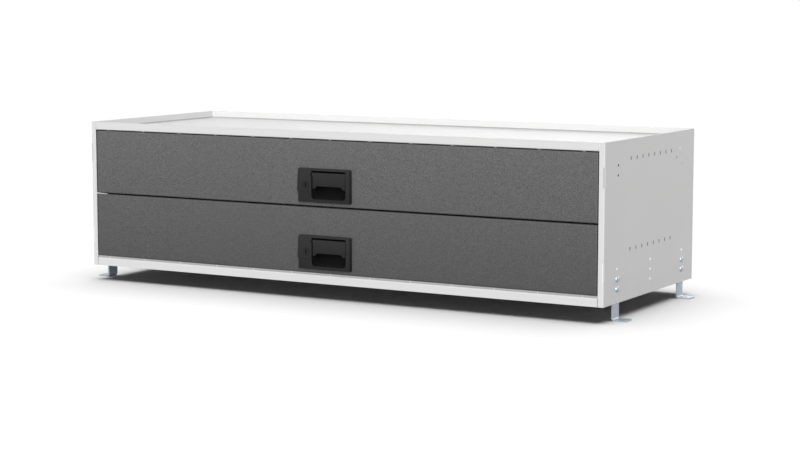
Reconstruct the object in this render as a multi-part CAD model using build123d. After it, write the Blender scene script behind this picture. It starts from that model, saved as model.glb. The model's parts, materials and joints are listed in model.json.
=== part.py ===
from build123d import *
from math import cos, radians, sin, tan
import os

# A low cabinet with two full-width drawers for a van, in millimetres.
# The origin is on the floor under the middle of the whole object, +Z is up and the fronts face -Y.

# Cabinet, measured from its front face and its lower edge
cabinet_width = 1250.0
cabinet_depth = 468.0
cabinet_height = 322.0
foot_lift = 34.0
sheet = 1.5
bend = 0.8
post_width = 12.0
seat_gap = 0.2
overrun = 5.0

# Top tray and base tray, the same folded part, one of them upside down
tray_lip = 17.4
tray_seam = 1.2
tray_relief = 3.0
nub_inset = 45.4
nub_count = 13
nub_width = 6.5
nub_height = 1.1
nub_length = 9.0
upstand_height = 4.4

# Side panel holes, measured from the front face and the lower edge
foot_inset = 65.0
hole_rise = 28.5
hole_pitch = 20.0
hole_radius = 2.6
slot_count = 8
slot_pitch = 30.2
slot_width = 3.5
slot_height = 7.2
lower_slot_rise = 101.5
upper_slot_drop = 38.7
post_slot_height = 40.0
post_slot_width = 3.6
post_slot_rise = 69.0
post_slot_drop = 68.5
post_slot_reach = 3.2
post_slot_sink = 0.8
tie_hole_radius = 2.0
tie_hole_insets = (82.0, 99.0)
tie_hole_drops = (37.0, 54.5)

# Feet, bent from strap, bolted inside the side panels
foot_width = 30.0
foot_strap = 3.0
foot_bend = 3.5
foot_reach = 27.0
foot_hole_radius = 3.4
foot_hole_reach = 13.0
foot_strap_top = 10.0
foot_notch_gap = 1.0
foot_corner = 2.0
bolt_head_radius = 7.0
bolt_head_height = 3.6
bolt_head_edge = 2.2
bolt_radius = 3.0
bolt_fit = 0.15
nut_flats = 10.0
nut_height = 5.0

# Drawer fronts
front_side_gap = 2.5
front_top_gap = 2.0
front_mid_gap = 3.3
front_base_gap = 5.1
front_sheet = 1.5
front_bend = 0.8
front_flange = 16.0
front_side_flange = 34.0
front_lip = 15.0

# Drawer bodies
body_sheet = 1.2
body_rise = 18.0
body_drop = 10.4
body_back_gap = 10.0
body_hem = 9.0
wall_flange = 12.0

# Runners: three members and two ball cages on each side of a drawer, on a packer that clears the post
runner_front_gap = 2.0
runner_end_gap = 32.0
runner_height = 45.7
runner_thickness = 12.7
runner_gauge = 1.2
packer_height = 32.0
packer_gauge = 1.5
packer_foot_gap = 7.0
packer_post_gap = 1.0
race_lip = 1.0
outer_setback = 2.9
middle_setback = 1.9
cage_gauge = 0.5
running_gap = 0.3
ball_diameter = 4.4
ball_gap = 0.1

# Rail between the drawers and the strikes
rail_setback = 18.0
rail_depth = 26.0
rail_height = 12.0
strike_width = 42.0
strike_gauge = 2.0
strike_hang = 10.6
strike_foot = 8.0
strike_bar_gap = 0.6

# Latch plate, placed from the middle of a drawer front and from its lower edge
plate_left = -75.5
plate_width = 130.2
plate_bottom = 7.6
plate_height = 72.0
plate_stand_out = 6.5
plate_corner = 4.0
plate_draft = 6.0
plate_side_run = 2.3
block_flare = 2.6
block_corner = 3.0
block_rise = 22.4
block_stand_out = 1.0
block_edge = 0.5
pocket_left_margin = 34.9
pocket_right_margin = 11.6
pocket_lower_margin = 7.3
pocket_upper_margin = 5.0
pocket_depth = 24.0
pocket_wall = 2.0
pocket_corner = 7.5
pocket_upper_corner = 1.2
cutout_gap = 0.5

# Paddle and its pin
paddle_side_gap = 1.9
paddle_top_gap = 4.0
paddle_rise = 21.2
paddle_thickness = 3.0
paddle_recess = 0.8
paddle_edge = 0.7
paddle_notch_height = 5.8
paddle_tab = 5.0
paddle_notch_run = 5.6
paddle_swing = 30.0
hinge_drop = 8.1
hinge_setback = 0.5
pin_radius = 1.5
pin_fit = 0.05
ear_radius = 3.6
ear_width = 6.0
arm_width = 14.0
arm_thickness = 3.0
arm_gap = 0.6
hinge_slot_width = 2.2
hinge_slot_height = 5.0

# Latch bar with its guides and spring, placed from the lower edge of the plate
bar_setback = 29.0
bar_gauge = 3.0
bar_width = 24.0
bar_rise = 30.4
bar_bevel = 3.5
bar_tip_gap = 0.8
bar_side_gap = 0.3
guide_rise = 16.4
guide_length = 25.0
guide_wall = 2.4
guide_lip = 2.0
lock_ear_length = 24.0
lock_ear_height = 8.0
lock_ear_gap = 0.8
spring_width = 12.0
spring_gauge = 0.6
spring_rise = 9.4
spring_seat_thickness = 3.0
spring_seat_width = 14.0

# Lock
lock_inset = 21.5
lock_plate_rise = 37.5
lock_ring_radius = 8.0
lock_ring_height = 0.6
lock_body_radius = 7.3
lock_body_depth = 20.0
lock_plug_radius = 6.0
lock_plug_fit = 0.05
lock_fit = 0.05
lock_key_width = 2.4
lock_key_height = 8.5
lock_key_depth = 6.0
lock_nut_flats = 19.5
lock_nut_height = 4.0
lock_tail_side = 5.0
lock_cam_width = 12.0
lock_cam_length = 26.0
lock_cam_gauge = 2.0
lock_cam_gap = 0.2

# Back panel and its rivets
back_flange = 12.0
back_side_gap = 2.0
rivet_inset = 43.6
rivet_radius = 2.0
rivet_head_radius = 4.0
rivet_head_height = 1.1

# Screws of the drawers, and the share of the latch plate's height at which its own lie
screw_radius = 2.0
screw_head_radius = 3.0
screw_head_height = 2.0
runner_screw_inset = 40.0
latch_screw_depth = 4.5
latch_screw_share = 0.22

# Places worked out from the sizes above
full_stand_out = plate_stand_out + block_stand_out + lock_ring_height
front_y = (full_stand_out - cabinet_depth - rivet_head_height) / 2
back_y = front_y + cabinet_depth
middle_y = (front_y + back_y) / 2
half_width = cabinet_width / 2
base_z = foot_lift
top_z = base_z + cabinet_height
inner_half = half_width - sheet
post_edge = half_width - post_width
base_web_z = base_z + tray_lip
top_web_z = top_z - tray_lip
nub_pitch = (cabinet_width - 2 * nub_inset) / (nub_count - 1)
front_half = post_edge - front_side_gap
gaps_height = front_top_gap + front_mid_gap + front_base_gap
front_height = (cabinet_height - 2 * tray_lip - gaps_height) / 2
lower_z = base_web_z + front_base_gap
upper_z = lower_z + front_height + front_mid_gap
levels = {"upper": upper_z, "lower": lower_z}
wall_top = front_height - body_drop
strike_rise = top_web_z - upper_z
body_front_y = front_y + front_side_flange
body_back_y = back_y - sheet - body_back_gap

# Runner sections, measured inward from the packer's face and up from the middle of the runner
outer_race = runner_height / 2 - runner_gauge
middle_race = outer_race - ball_diameter - 2 * ball_gap
middle_inner_race = middle_race - runner_gauge
inner_race = middle_inner_race - ball_diameter - 2 * ball_gap
outer_cage_near = runner_gauge + running_gap
middle_near = outer_cage_near + cage_gauge + running_gap
inner_cage_near = middle_near + runner_gauge + running_gap
inner_near = inner_cage_near + cage_gauge + running_gap
outer_far = runner_thickness - outer_setback
middle_far = runner_thickness - middle_setback
runner_y = body_front_y + runner_front_gap
runner_length = back_y - runner_end_gap - runner_y
drawer_travel = runner_length
strap_top = hole_rise + 2 * hole_pitch + foot_strap_top
runner_rise = strap_top + packer_foot_gap + packer_height / 2 - tray_lip - front_base_gap
packer_half = post_edge + middle_near - packer_post_gap
body_half = packer_half - runner_thickness

# Latch places, measured from the middle of a drawer front and from its lower edge
plate_right = plate_left + plate_width
plate_top = plate_bottom + plate_height
block_bottom = plate_bottom + block_rise
pocket_left = plate_left + pocket_left_margin
pocket_right = plate_right - pocket_right_margin
pocket_bottom = plate_bottom + pocket_lower_margin
pocket_top = plate_top - pocket_upper_margin
paddle_left = pocket_left + paddle_side_gap
paddle_right = pocket_right - paddle_side_gap
paddle_bottom = pocket_bottom + paddle_rise
paddle_top = pocket_top - paddle_top_gap
bar_x = (paddle_left + paddle_right) / 2
bar_y = front_y + bar_setback
bar_bottom = plate_bottom + bar_rise
bar_top = strike_rise - strike_hang - bar_tip_gap
guide_bottom = plate_bottom + guide_rise
guide_top = guide_bottom + guide_length
spring_seat = plate_bottom + spring_rise
lock_x = plate_left + lock_inset
lock_rise = plate_bottom + lock_plate_rise
hinge_y = front_y + hinge_setback
hinge_rise = pocket_top - hinge_drop
arm_reach = bar_setback + bar_gauge / 2 - hinge_setback
bar_travel = arm_reach * sin(radians(paddle_swing))


def block(x_low, x_high, y_low, y_high, z_low, z_high):
    size = (x_high - x_low, y_high - y_low, z_high - z_low)
    middle = ((x_low + x_high) / 2, (y_low + y_high) / 2, (z_low + z_high) / 2)
    return Pos(*middle) * Box(*size)


def rod_x(x_low, x_high, y, z, radius):
    return Pos((x_low + x_high) / 2, y, z) * Rot(0, 90, 0) * Cylinder(radius, x_high - x_low)


def rod_y(y_low, y_high, x, z, radius):
    return Pos(x, (y_low + y_high) / 2, z) * Rot(90, 0, 0) * Cylinder(radius, y_high - y_low)


def rod_z(z_low, z_high, x, y, radius):
    return Pos(x, y, (z_low + z_high) / 2) * Cylinder(radius, z_high - z_low)


def prism_x(x_low, x_high, y, z, radius, sides=8):
    """A prism along X with its flats at the radius, which stands for a small rod or bore."""
    face = RegularPolygon(radius, sides, major_radius=False)
    return Pos(x_low, y, z) * Rot(0, 90, 0) * extrude(face, amount=x_high - x_low)


def prism_y(y_low, y_high, x, z, radius, sides=8):
    """The same along Y."""
    face = RegularPolygon(radius, sides, major_radius=False)
    return Pos(x, y_high, z) * Rot(90, 0, 0) * extrude(face, amount=y_high - y_low)


def other_side(path, gauge):
    """The points of a path shifted to its left by a gauge."""
    ways = [(end - start).normalized() for start, end in zip(path, path[1:])]
    lefts = [Vector(-way.Y, way.X) for way in ways]
    shifted = [path[0] + lefts[0] * gauge]
    for corner, first, second in zip(path[1:], lefts, lefts[1:]):
        shifted.append(corner + (first + second) * (gauge / (1 + first.dot(second))))
    return shifted + [path[-1] + lefts[-1] * gauge]


def folded_section(points, gauge):
    """The section of a sheet folded sharply that lies on the left of a path of points."""
    path = [Vector(*point) for point in points]
    return make_face(Polyline(*path, *reversed(other_side(path, gauge)), close=True))


def bent_section(points, gauge, inner_radius):
    """The section of a sheet bent to a radius that lies on the left of a path of points."""
    path = [Vector(*point) for point in points]
    other = other_side(path, gauge)
    near_radii = []
    far_radii = []
    for before, corner, after in zip(path, path[1:], path[2:]):
        turns_left = (corner - before).cross(after - corner).Z > 0
        near_radii.append(inner_radius + gauge if turns_left else inner_radius)
        far_radii.append(inner_radius if turns_left else inner_radius + gauge)
    near = FilletPolyline(*path, radius=near_radii) if near_radii else Line(*path)
    far = FilletPolyline(*other, radius=far_radii) if far_radii else Line(*other)
    edges = near.edges() + far.edges()
    edges += [Line(path[0], other[0]).edge(), Line(path[-1], other[-1]).edge()]
    return make_face(Wire.combine(edges)[0])


def along_y(section, y_low, y_high):
    """A section drawn with x to the right and z up, extruded from one y to another."""
    plane = Plane(origin=(0, y_high, 0), x_dir=(1, 0, 0), z_dir=(0, -1, 0))
    return extrude(plane * section, amount=y_high - y_low)


def along_z(section, z_low, z_high):
    """A section drawn with x to the right and y back, extruded upward."""
    return extrude(Plane(origin=(0, 0, z_low)) * section, amount=z_high - z_low)


def along_x(section, x_low, x_high):
    """A section drawn with y to the right and z up, extruded from one x to another."""
    plane = Plane(origin=(x_low, 0, 0), x_dir=(0, 1, 0), z_dir=(1, 0, 0))
    return extrude(plane * section, amount=x_high - x_low)


def mirrored(shape):
    return mirror(shape, about=Plane.YZ)


def pair(shape):
    """A shape on the right and its mirror image on the left."""
    return [shape, mirrored(shape)]


def group(shapes):
    """Separate solids kept together as one set of like pieces."""
    return Compound(children=[solid for shape in shapes for solid in shape.solids()])


def cut_all(shape, tools):
    for tool in tools:
        shape = shape - tool
    return shape


def foot_places():
    """The y places of the two feet on each side."""
    return (front_y + foot_inset, back_y - foot_inset)


def bolt_heights():
    """The z places of the two bolts of a foot."""
    return (base_z + hole_rise, base_z + hole_rise + hole_pitch)


def side_panel():
    """Right side panel: a folded channel with a front post and a rear flange, and its holes."""
    outline = [
        (post_edge, front_y),
        (half_width, front_y),
        (half_width, back_y),
        (post_edge, back_y),
    ]
    panel = along_z(bent_section(outline, sheet, bend), base_z, top_z)
    tools = []
    for column, y in enumerate((front_y + foot_inset, middle_y, back_y - foot_inset)):
        for row in range(3):
            z = base_z + hole_rise + row * hole_pitch
            bolted = column != 1 and row != 2
            radius = bolt_radius + bolt_fit if bolted else hole_radius
            tools.append(prism_x(inner_half - overrun, half_width + overrun, y, z, radius))
        if column != 1:
            for row in (1, 2):
                z = top_z - hole_rise - row * hole_pitch
                tools.append(rod_x(inner_half - overrun, half_width + overrun, y, z, hole_radius))
    for inset, drop in zip(tie_hole_insets, tie_hole_drops):
        y = back_y - inset
        tools.append(prism_x(inner_half - overrun, half_width + overrun, y, top_z - drop, tie_hole_radius))
    slot = Box(2 * overrun, slot_width, slot_height)
    for z in (base_z + lower_slot_rise, top_z - upper_slot_drop):
        for step in range(slot_count):
            y = middle_y + (step - (slot_count - 1) / 2) * slot_pitch
            tools.append(Pos(half_width - sheet / 2, y, z) * slot)
    for z in (base_z + post_slot_rise, top_z - post_slot_drop):
        z_low = z - post_slot_height / 2
        z_high = z + post_slot_height / 2
        for width, reach in ((post_slot_width, post_slot_sink), (post_slot_sink, post_slot_reach)):
            x_low = half_width - width
            tools.append(block(x_low, half_width + overrun, front_y - overrun, front_y + reach, z_low, z_high))
    for z in rivet_places():
        tools.append(prism_y(back_y - overrun, back_y + overrun, rivet_x(), z, rivet_radius))
    return cut_all(panel, tools)


def open_pan(half_x, y_low, y_high, z_web, z_rim, gauge, outer_radius):
    """A sheet pan with a flat web at z_web and four lips that end at z_rim."""
    up = 1 if z_rim > z_web else -1
    outer = block(-half_x, half_x, y_low, y_high, min(z_web, z_rim), max(z_web, z_rim))
    outer = fillet(outer.edges().group_by(Axis.Z)[0 if up > 0 else -1], outer_radius)
    z_floor = z_web + up * gauge
    z_open = z_rim + up * overrun
    return outer - block(
        -half_x + gauge,
        half_x - gauge,
        y_low + gauge,
        y_high - gauge,
        min(z_floor, z_open),
        max(z_floor, z_open),
    )


def shelf_tray(z_web, z_rim):
    """A tray between the side panels whose front and rear lips lie flush between the flanges."""
    up = 1 if z_rim > z_web else -1
    half_x = inner_half - seat_gap
    tray = open_pan(half_x, front_y, back_y, z_web, z_rim, sheet, sheet + bend)
    z_low = min(z_web, z_rim) - overrun
    z_high = max(z_web, z_rim) + overrun
    lip_half = post_edge - tray_seam
    behind = sheet + bend
    corner = block(lip_half, half_width, front_y - overrun, front_y + behind, z_low, z_high)
    relief = block(
        lip_half - tray_relief,
        half_width,
        front_y - overrun,
        front_y + behind,
        min(z_web - up * overrun, z_web + up * tray_relief / 2),
        max(z_web - up * overrun, z_web + up * tray_relief / 2),
    )
    front_cut = corner + relief
    rear_cut = mirror(front_cut, about=Plane(origin=(0, middle_y, 0), z_dir=(0, 1, 0)))
    tray = cut_all(tray, pair(front_cut) + pair(rear_cut))
    for step in range(nub_count):
        x = (step - (nub_count - 1) / 2) * nub_pitch
        outline = [
            (x - nub_width / 2, z_web),
            (x - nub_width / 2 + nub_height, z_web - up * nub_height),
            (x + nub_width / 2 - nub_height, z_web - up * nub_height),
            (x + nub_width / 2, z_web),
        ]
        nub = make_face(Polyline(*outline, close=True))
        tray += along_y(nub, front_y + behind, front_y + behind + nub_length)
    return tray


def top_tray():
    return shelf_tray(top_web_z, top_z)


def base_tray():
    """The same tray upside down, with a low upstand and notches for the straps of the feet."""
    y_near = front_y + sheet + bend
    reach = post_edge - tray_seam
    z_high = base_web_z + upstand_height
    upstand = block(-reach, reach, y_near, y_near + sheet, base_web_z - sheet / 2, z_high)
    tray = shelf_tray(base_web_z, base_z) + upstand
    notch_edge = inner_half - foot_strap - foot_notch_gap
    half_notch = foot_width / 2 + foot_notch_gap
    for y in foot_places():
        notch = block(
            notch_edge,
            half_width,
            y - half_notch,
            y + half_notch,
            base_z - overrun,
            base_web_z + overrun,
        )
        tray = cut_all(tray, pair(notch))
    return tray


def back_panel():
    """The back: a sheet with a short flange forward along its upper and lower edges."""
    y_back = back_y - sheet
    outline = [
        (y_back - back_flange, base_web_z),
        (y_back, base_web_z),
        (y_back, top_web_z),
        (y_back - back_flange, top_web_z),
    ]
    half_x = inner_half - back_side_gap
    panel = along_x(folded_section(outline, body_sheet), -half_x, half_x)
    tools = []
    for z in rivet_places():
        tools += pair(prism_y(y_back - overrun, y_back + overrun, rivet_x(), z, rivet_radius))
    return cut_all(panel, tools)


def rivet_x():
    return post_edge + (post_width - sheet) / 2


def rivet_places():
    """The z places of the rivets on each side of the back panel."""
    return (base_web_z + rivet_inset, top_web_z - rivet_inset)


def back_rivets():
    """Rivets that hold the back panel to the rear flanges, with their heads outside."""
    rivets = []
    y_in = back_y - sheet - body_sheet
    for z in rivet_places():
        rivet = prism_y(y_in, back_y, rivet_x(), z, rivet_radius)
        rivet += prism_y(back_y, back_y + rivet_head_height, rivet_x(), z, rivet_head_radius)
        rivets += pair(rivet)
    return group(rivets)


def foot():
    """A right foot at y = 0: a strap with weld nuts that turns outward on the floor."""
    x_in = inner_half - foot_strap
    path = [(x_in, base_z + strap_top), (x_in, 0), (half_width + foot_reach, 0)]
    strap = along_y(bent_section(path, foot_strap, foot_bend), -foot_width / 2, foot_width / 2)
    toe = strap.edges().filter_by(Axis.Z).group_by(Axis.X)[-1]
    strap = chamfer(toe, foot_corner)
    strap -= rod_z(-overrun, foot_strap + overrun, half_width + foot_hole_reach, 0, foot_hole_radius)
    for z in bolt_heights():
        strap -= prism_x(x_in - overrun, half_width, 0, z, bolt_radius + bolt_fit)
        strap += Pos(x_in - nut_height, 0, z) * weld_nut()
    return strap


def foot_bolt():
    """A pan-head bolt at y = 0, z = 0 that clamps a strap to the right panel."""
    shank = prism_x(inner_half - foot_strap, half_width, 0, 0, bolt_radius)
    head = prism_x(half_width, half_width + bolt_head_height, 0, 0, bolt_head_radius)
    return shank + chamfer(head.edges().group_by(Axis.X)[-1], bolt_head_edge)


def weld_nut():
    """A closed hexagon nut that stands along X."""
    return Rot(0, 90, 0) * extrude(RegularPolygon(nut_flats / 2, 6, major_radius=False), amount=nut_height)


def foot_bolts():
    """The bolts of all four feet."""
    bolts = []
    for y in foot_places():
        for z in bolt_heights():
            bolts += pair(Pos(0, y, z) * foot_bolt())
    return group(bolts)


def cross_rail():
    """A channel between the side panels, behind the gap between the two drawer fronts."""
    y_web = front_y + rail_setback
    z_low = lower_z + strike_rise
    z_high = z_low + rail_height
    outline = [
        (y_web + rail_depth, z_high),
        (y_web, z_high),
        (y_web, z_low),
        (y_web + rail_depth, z_low),
    ]
    half_x = inner_half - seat_gap
    return along_x(folded_section(outline, sheet), -half_x, half_x)


def strikes():
    """Two angles, under the top tray and under the rail, that catch the latch bars."""
    plates = []
    y_leg = bar_y - strike_bar_gap - strike_gauge
    for z_base in levels.values():
        z_seat = z_base + strike_rise
        outline = [
            (y_leg, z_seat - strike_hang),
            (y_leg, z_seat),
            (y_leg - strike_foot, z_seat),
        ]
        section = folded_section(outline, strike_gauge)
        plates.append(along_x(section, bar_x - strike_width / 2, bar_x + strike_width / 2))
    return group(plates)


def runner_face(from_packer, height):
    """A point of a right-hand runner section, given inward from the packer and up from its middle."""
    return (packer_half - from_packer, height)


def below(points):
    """The lower half of a runner section, in reverse order."""
    return [(x, -height) for x, height in reversed(points)]


def member(points, z):
    """A runner member of full length with its section's middle at z."""
    section = folded_section(points, runner_gauge)
    return Pos(0, 0, z) * along_y(section, runner_y, runner_y + runner_length)


def runner_packers():
    """Channels between the side panels and the outer members, which bring these clear of the posts."""
    packers = []
    for z_base in levels.values():
        z_low = z_base + runner_rise - packer_height / 2
        z_high = z_low + packer_height
        outline = [
            (inner_half, z_high),
            (packer_half, z_high),
            (packer_half, z_low),
            (inner_half, z_low),
        ]
        section = folded_section(outline, packer_gauge)
        packers += pair(along_y(section, runner_y, runner_y + runner_length))
    return group(packers)


def outer_member(z):
    """The cabinet member: its web lies on the packer and its lips keep the balls in."""
    rim = runner_height / 2
    points = [
        runner_face(0, rim),
        runner_face(outer_far, rim),
        runner_face(outer_far, outer_race - race_lip),
    ]
    return member(below(points) + points, z)


def middle_member(z):
    points = [
        runner_face(middle_near, middle_race),
        runner_face(middle_far, middle_race),
        runner_face(middle_far, middle_inner_race - race_lip),
    ]
    return member(below(points) + points, z)


def inner_member(z):
    """The drawer member: its web lies on the drawer side and its flanges turn to the panel."""
    points = [
        runner_face(inner_near + runner_gauge, inner_race + race_lip),
        runner_face(inner_near + runner_gauge, inner_race),
        runner_face(runner_thickness, inner_race),
    ]
    tools = []
    for y in runner_screw_places():
        tools.append(prism_x(body_half - overrun, body_half + overrun, y, z, screw_radius))
    return cut_all(member(points + below(points), z), tools)


def runner_screw_places():
    """The y places of the screws that hold an inner runner member to a drawer side."""
    return (runner_y + runner_screw_inset, runner_y + runner_length - runner_screw_inset)


def cage(z, near, ball_height, ball_from_packer):
    """A ball cage: a channel between two members, with a six-sided rod for each row of balls."""
    y_low = runner_y + drawer_travel / 4
    y_high = y_low + runner_length - drawer_travel / 2
    reach = ball_from_packer + ball_diameter / 2
    points = [
        runner_face(near, ball_height + cage_gauge / 2),
        runner_face(reach, ball_height + cage_gauge / 2),
    ]
    strip = along_y(folded_section(below(points) + points, cage_gauge), y_low, y_high)
    x, _ = runner_face(ball_from_packer, 0)
    for height in (ball_height, -ball_height):
        strip += prism_y(y_low, y_high, x, height, ball_diameter / 2, 6)
    return Pos(0, 0, z) * strip


def outer_cage(z):
    return cage(z, outer_cage_near, (outer_race + middle_race) / 2, outer_far / 2)


def inner_cage(z):
    return cage(z, inner_cage_near, (middle_inner_race + inner_race) / 2, (inner_near + middle_far) / 2)


def drawer_front(z_base):
    """A folded front: narrow flanges above and below, deeper ones with lips at the sides."""
    z_top = z_base + front_height
    y_lip = front_y + front_side_flange
    outer = block(-front_half, front_half, front_y, y_lip, z_base, z_top)
    rim = outer.edges().group_by(Axis.Y)[0]
    outer = fillet(rim, front_bend + front_sheet)
    inner = block(
        -front_half + front_sheet,
        front_half - front_sheet,
        front_y + front_sheet,
        y_lip - front_sheet,
        z_base + front_sheet,
        z_top - front_sheet,
    )
    mouth = block(
        -front_half + front_lip,
        front_half - front_lip,
        front_y + front_flange,
        y_lip + overrun,
        z_base + front_sheet,
        z_top - front_sheet,
    )
    below_body = block(
        -front_half - overrun,
        front_half + overrun,
        front_y + front_flange,
        y_lip + overrun,
        z_base - overrun,
        z_base + body_rise,
    )
    above_body = block(
        -front_half - overrun,
        front_half + overrun,
        front_y + front_flange,
        y_lip + overrun,
        z_base + wall_top,
        z_top + overrun,
    )
    front = cut_all(outer, [inner, mouth, below_body, above_body])
    cutout = block(
        pocket_left - pocket_wall - cutout_gap,
        pocket_right + pocket_wall + cutout_gap,
        front_y - overrun,
        front_y + front_sheet + overrun,
        z_base + pocket_bottom - pocket_wall - cutout_gap,
        z_base + pocket_top + pocket_wall + cutout_gap,
    )
    holes = [(lock_x, lock_rise, lock_body_radius + cutout_gap)]
    holes += [(x, rise, screw_radius) for x, rise in latch_screw_places()]
    y_high = front_y + front_sheet + overrun
    tools = [prism_y(front_y - overrun, y_high, x, z_base + rise, radius) for x, rise, radius in holes]
    return cut_all(front, [cutout] + tools)


def drawer_tray(z_base):
    """The drawer's floor and sides in one folded sheet, with hemmed upper edges."""
    z_floor = z_base + body_rise
    z_top = z_base + wall_top
    outline = [
        (-body_half + body_hem, z_top),
        (-body_half, z_top),
        (-body_half, z_floor),
        (body_half, z_floor),
        (body_half, z_top),
        (body_half - body_hem, z_top),
    ]
    tray = along_y(folded_section(outline, body_sheet), body_front_y, body_back_y)
    tools = []
    for y in runner_screw_places():
        hole = prism_x(body_half - overrun, body_half + overrun, y, z_base + runner_rise, screw_radius)
        tools += pair(hole)
    return cut_all(tray, tools)


def inner_wall_half():
    return body_half - body_sheet - seat_gap


def inner_front(z_base):
    """The wall behind the front, with a flange forward along its top that guides the latch bar."""
    z_low = z_base + body_rise + body_sheet
    z_top = z_base + wall_top - body_sheet - seat_gap
    y_back = body_front_y + body_sheet
    outline = [
        (y_back, z_low),
        (y_back, z_top),
        (body_front_y - wall_flange, z_top),
    ]
    wall = along_x(folded_section(outline, body_sheet), -guide_flange_half(), guide_flange_half())
    wall += block(-inner_wall_half(), inner_wall_half(), body_front_y, y_back, z_low, z_top)
    slot = block(
        bar_x - bar_width / 2 - bar_side_gap,
        bar_x + bar_width / 2 + bar_side_gap,
        bar_y - bar_side_gap,
        bar_y + bar_gauge + bar_side_gap,
        z_top - overrun,
        z_top + overrun,
    )
    return wall - slot


def guide_flange_half():
    """The top flange stops short of the lips of the front."""
    return front_half - front_lip - cutout_gap


def drawer_back(z_base):
    """The rear wall of a drawer, a sheet with a flange forward along its top."""
    z_low = z_base + body_rise + body_sheet
    z_top = z_base + wall_top - body_sheet - seat_gap
    outline = [
        (body_back_y, z_low),
        (body_back_y, z_top),
        (body_back_y - wall_flange, z_top),
    ]
    half_x = inner_wall_half()
    return along_x(folded_section(outline, body_sheet), -half_x, half_x)


def drawer_screws(z_base):
    """Hexagon screws through the drawer sides into the inner runner members."""
    screws = []
    z = z_base + runner_rise
    x_seat = body_half - body_sheet
    for y in runner_screw_places():
        screw = prism_x(x_seat, body_half + runner_gauge, y, z, screw_radius)
        screw += prism_x(x_seat - screw_head_height, x_seat, y, z, screw_head_radius, 6)
        screws += pair(screw)
    return group(screws)


def latch_screw_places():
    """The x places and rises of the screws that hold the latch from behind the front sheet."""
    x_right = (pocket_right + pocket_wall + plate_right) / 2
    x_left = plate_left + plate_right - x_right
    rise = plate_bottom + plate_height * latch_screw_share
    return ((x_left, rise), (x_right, rise))


def latch_screws(z_base):
    screws = []
    y_seat = front_y + front_sheet
    for x, rise in latch_screw_places():
        screw = prism_y(front_y - latch_screw_depth, y_seat, x, z_base + rise, screw_radius)
        screw += prism_y(y_seat, y_seat + screw_head_height, x, z_base + rise, screw_head_radius, 6)
        screws.append(screw)
    return group(screws)


def pocket_block(grow, y_low, y_high, z_base):
    """The block that the hand pocket fills, grown outward by a wall."""
    return block(
        pocket_left - grow,
        pocket_right + grow,
        y_low,
        y_high,
        z_base + pocket_bottom - grow,
        z_base + pocket_top + grow,
    )


def hand_pocket(y_low, y_high, z_base):
    """The hollow of the hand pocket, rounded below."""
    body = pocket_block(0, y_low, y_high, z_base)
    body = fillet(body.edges().filter_by(Axis.Y).group_by(Axis.Z)[0], pocket_corner)
    return fillet(body.edges().filter_by(Axis.Y).group_by(Axis.Z)[-1], pocket_upper_corner)


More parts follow.
